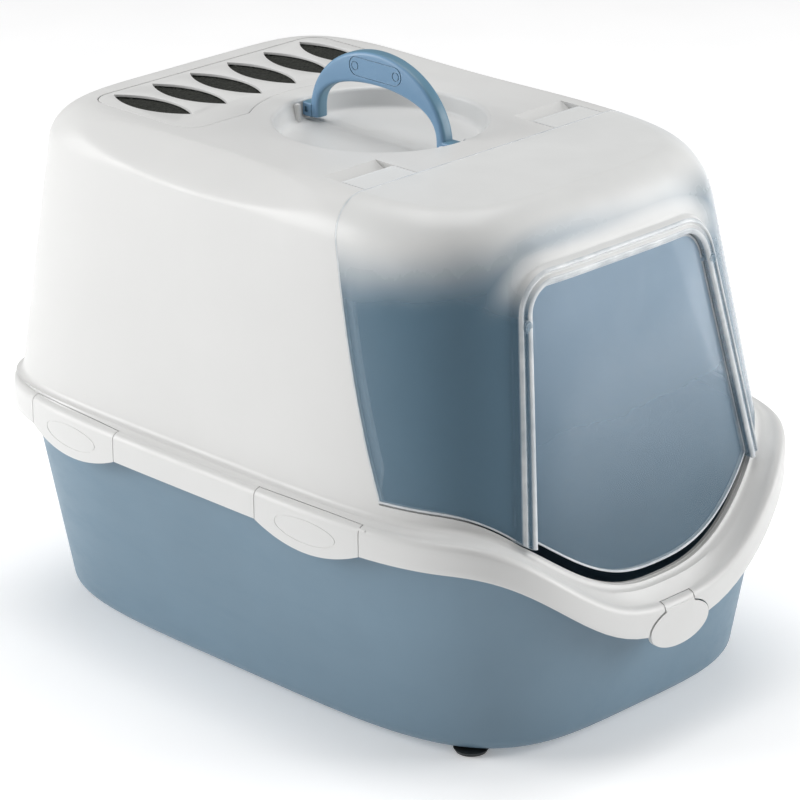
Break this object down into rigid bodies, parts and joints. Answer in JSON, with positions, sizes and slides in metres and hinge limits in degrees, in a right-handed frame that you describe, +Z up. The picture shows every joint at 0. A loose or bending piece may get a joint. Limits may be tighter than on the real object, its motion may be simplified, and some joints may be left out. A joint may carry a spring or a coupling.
{
  "type": "hooded cat litter box",
  "caption": "Hooded cat litter box: open tray, lift-off hood with carbon filter and folding handle, lift-up translucent front with swing flap, side clips and front latch.",
  "frame": {"origin": "on the floor, under the middle of the box's outer length and width", "axes": "+X to the right seen from the entrance, -Y towards the entrance, +Z up"},
  "size_m": [0.4, 0.56, 0.446],
  "materials": {
    "blue_plastic": "satin moulded polypropylene, muted blue",
    "white_plastic": "satin moulded polypropylene, warm white",
    "milky_plastic": "frosted translucent polypropylene",
    "smoky_plastic": "clear, faintly smoky styrene",
    "handle_plastic": "satin moulded plastic, light blue",
    "carbon_foam": "open-cell foam carrying carbon grains",
    "foot_rubber": "soft anti-slip pads"
  },
  "bodies": {
    "tray": {"tray": "blue_plastic", "tray_feet": "foot_rubber"},
    "hood": {"hood": "white_plastic"},
    "visor": {"front_visor": "milky_plastic"},
    "flap": {"swing_flap": "smoky_plastic"},
    "handle": {"carry_handle": "handle_plastic"},
    "filter_cover": {"filter_cover": "white_plastic"},
    "carbon_filter": {"carbon_filter": "carbon_foam"},
    "clip_left_rear": {"clip_left_rear": "white_plastic"},
    "clip_left_front": {"clip_left_front": "white_plastic"},
    "clip_right_rear": {"clip_right_rear": "white_plastic"},
    "clip_right_front": {"clip_right_front": "white_plastic"},
    "front_latch": {"front_latch": "white_plastic"}
  },
  "joints": [
    {"name": "hood_lift", "type": "slide", "parent": "tray", "child": "hood", "axis": [0, 0, 1], "range_m": [0, 0.12]},
    {"name": "visor_lift", "type": "hinge", "parent": "hood", "child": "visor", "pos_m": [0, -0.064, 0.3921], "axis": [-1, 0, 0], "range_deg": [0, 80]},
    {"name": "flap_swing", "type": "hinge", "parent": "visor", "child": "flap", "pos_m": [0, -0.2135, 0.32], "axis": [1, 0, 0], "range_deg": [-70, 70]},
    {"name": "handle_fold", "type": "hinge", "parent": "hood", "child": "handle", "pos_m": [0, 0.0195, 0.388], "axis": [0, 1, 0], "range_deg": [-88, 88]},
    {"name": "cover_lift", "type": "slide", "parent": "hood", "child": "filter_cover", "axis": [0, 0, 1], "range_m": [0, 0.06]},
    {"name": "filter_lift", "type": "slide", "parent": "hood", "child": "carbon_filter", "axis": [0, 0, 1], "range_m": [0, 0.03]},
    {"name": "clip_left_rear_turn", "type": "hinge", "parent": "hood", "child": "clip_left_rear", "pos_m": [-0.19254, 0.151, 0.1782], "axis": [0.0801, 0.9968, 0], "range_deg": [0, 70]},
    {"name": "clip_left_front_turn", "type": "hinge", "parent": "hood", "child": "clip_left_front", "pos_m": [-0.19493, -0.101, 0.1782], "axis": [-0.0367, 0.9993, 0], "range_deg": [0, 70]},
    {"name": "clip_right_rear_turn", "type": "hinge", "parent": "hood", "child": "clip_right_rear", "pos_m": [0.19254, 0.151, 0.1782], "axis": [0.0801, -0.9968, 0], "range_deg": [0, 70]},
    {"name": "clip_right_front_turn", "type": "hinge", "parent": "hood", "child": "clip_right_front", "pos_m": [0.19493, -0.101, 0.1782], "axis": [-0.0367, -0.9993, 0], "range_deg": [0, 70]},
    {"name": "latch_turn", "type": "hinge", "parent": "hood", "child": "front_latch", "pos_m": [0, -0.276, 0.1011], "axis": [-1, 0, 0], "range_deg": [0, 40]}
  ],
  "couplings": [
    {"joint": "cover_lift", "follows": "filter_lift", "ratio": 2}
  ]
}
